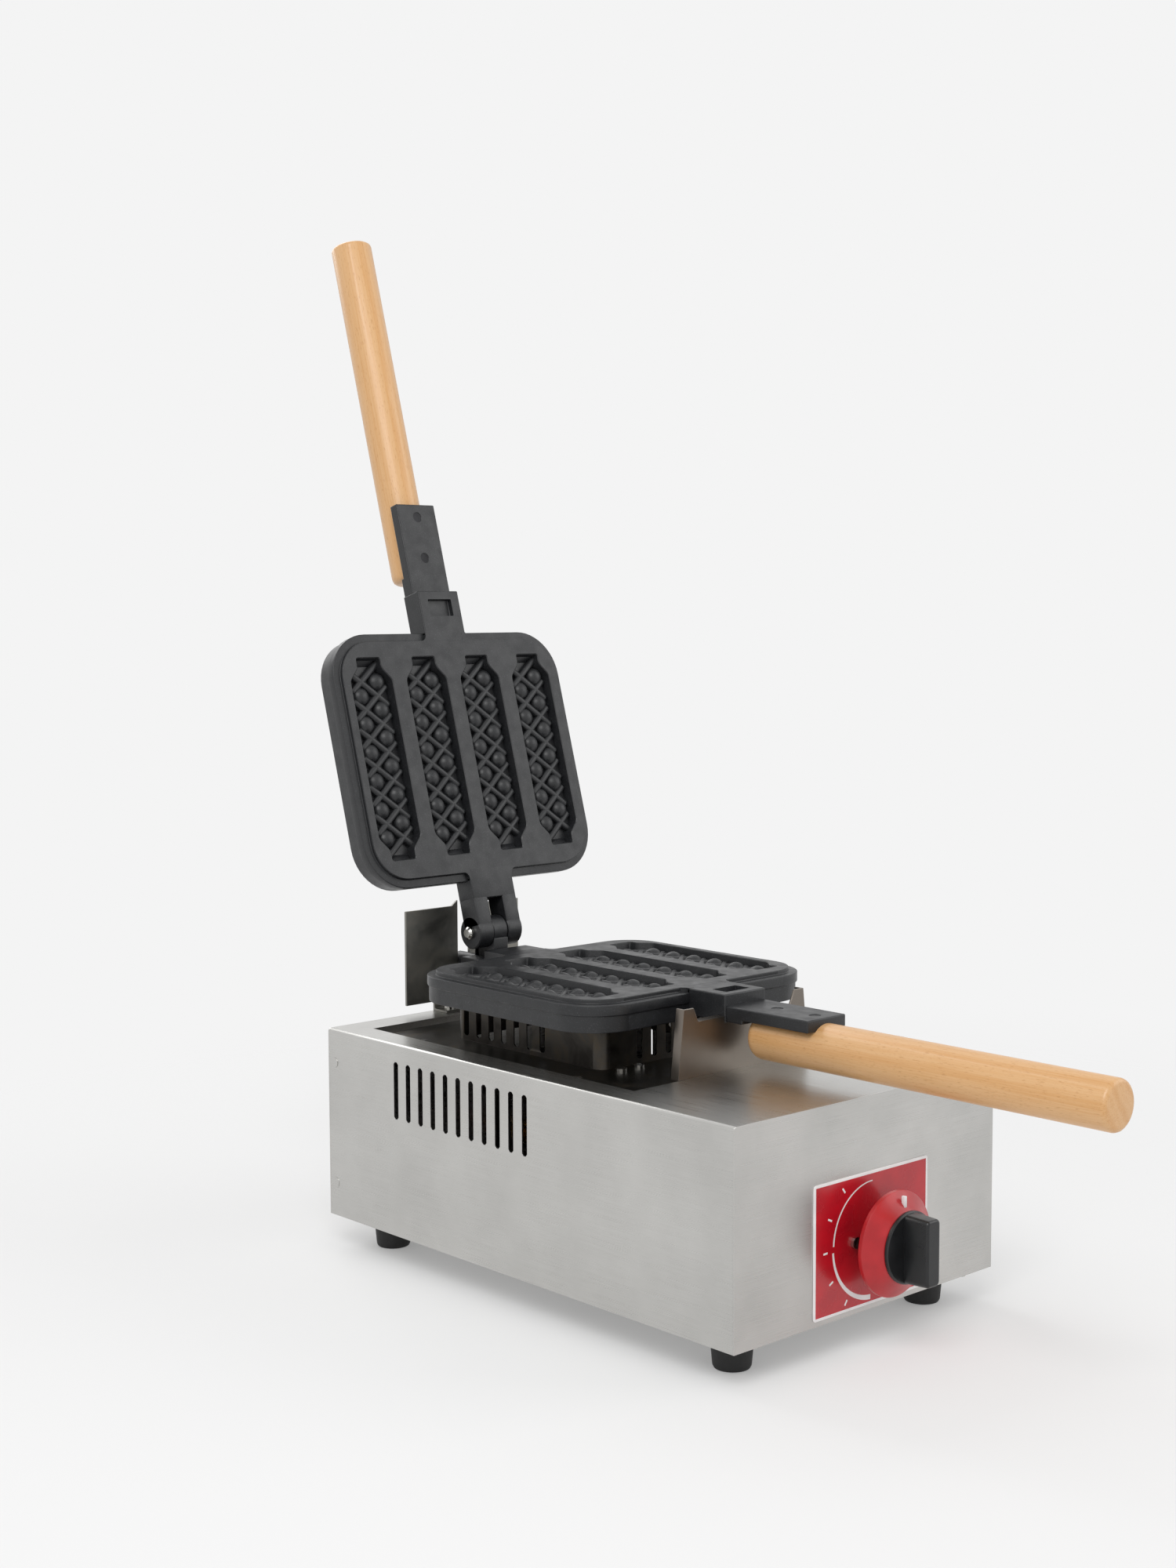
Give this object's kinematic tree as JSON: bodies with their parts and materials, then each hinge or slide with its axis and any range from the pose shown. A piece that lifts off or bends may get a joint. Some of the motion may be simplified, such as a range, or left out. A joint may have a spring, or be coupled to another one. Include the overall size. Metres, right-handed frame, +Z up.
{
  "type": "gas stick waffle maker",
  "caption": "Gas stick waffle and corn dog maker with hinged four-cavity mould irons, wooden handles and a stainless burner box.",
  "frame": {"origin": "on the floor under the middle of the box", "axes": "+Z up; -Y towards the front, where the knob is; +X to the right seen from the front"},
  "size_m": [0.2494, 0.7192, 0.7389],
  "materials": {
    "stainless": "brushed satin",
    "dark_steel": "dull, heat-darkened",
    "nonstick": "black non-stick coating, satin",
    "beech": "clear varnish",
    "rubber": "matte",
    "red": "gloss red enamel with white marks",
    "black_plastic": "fine satin",
    "bright_steel": "polished",
    "brass": "machined",
    "burner_iron": "as cast",
    "ceramic": "glazed",
    "copper": "drawn pipe"
  },
  "bodies": {
    "casing": {"housing_wrap": "stainless", "front_panel": "stainless", "rear_panel": "stainless", "base_plate": "stainless", "rubber_feet": "rubber", "foot_screws": "bright_steel", "casing_screws": "bright_steel", "front_rest": "stainless", "rear_rest": "dark_steel", "rest_screws": "bright_steel", "heat_shield": "dark_steel", "shield_screws": "bright_steel", "burner_ring": "burner_iron", "mixer_tube": "burner_iron", "injector": "brass", "burner_stand": "dark_steel", "valve_body": "brass", "control_screws": "bright_steel", "igniter_unit": "black_plastic", "igniter_electrode": "ceramic", "ignition_lead": "black_plastic", "supply_pipe": "copper", "inlet_pipe": "copper", "gas_inlet": "brass", "dial_plate": "red"},
    "lower_iron": {"lower_plate": "nonstick", "lower_handle": "beech", "lower_handle_screws": "bright_steel", "hinge_pin": "bright_steel"},
    "upper_iron": {"upper_plate": "nonstick", "upper_handle": "beech", "upper_handle_screws": "bright_steel"},
    "push_carriage": {"stem_collar": "brass"},
    "knob": {"valve_stem": "bright_steel", "knob_skirt": "red", "knob_grip": "black_plastic"}
  },
  "joints": [
    {"name": "iron_lift", "type": "slide", "parent": "casing", "child": "lower_iron", "axis": [0, 0, 1], "range_m": [0, 0.12]},
    {"name": "upper_hinge", "type": "hinge", "parent": "lower_iron", "child": "upper_iron", "pos_m": [0, 0.164, 0.2195], "axis": [1, 0, 0], "range_deg": [0, 106]},
    {"name": "knob_push", "type": "slide", "parent": "casing", "child": "push_carriage", "axis": [0, 1, 0], "range_m": [0, 0.004], "stiffness_N_per_m": 900, "springref_m": -0.002},
    {"name": "knob_turn", "type": "hinge", "parent": "push_carriage", "child": "knob", "pos_m": [0, -0.2, 0.0685], "axis": [0, -1, 0], "range_deg": [0, 180]}
  ]
}
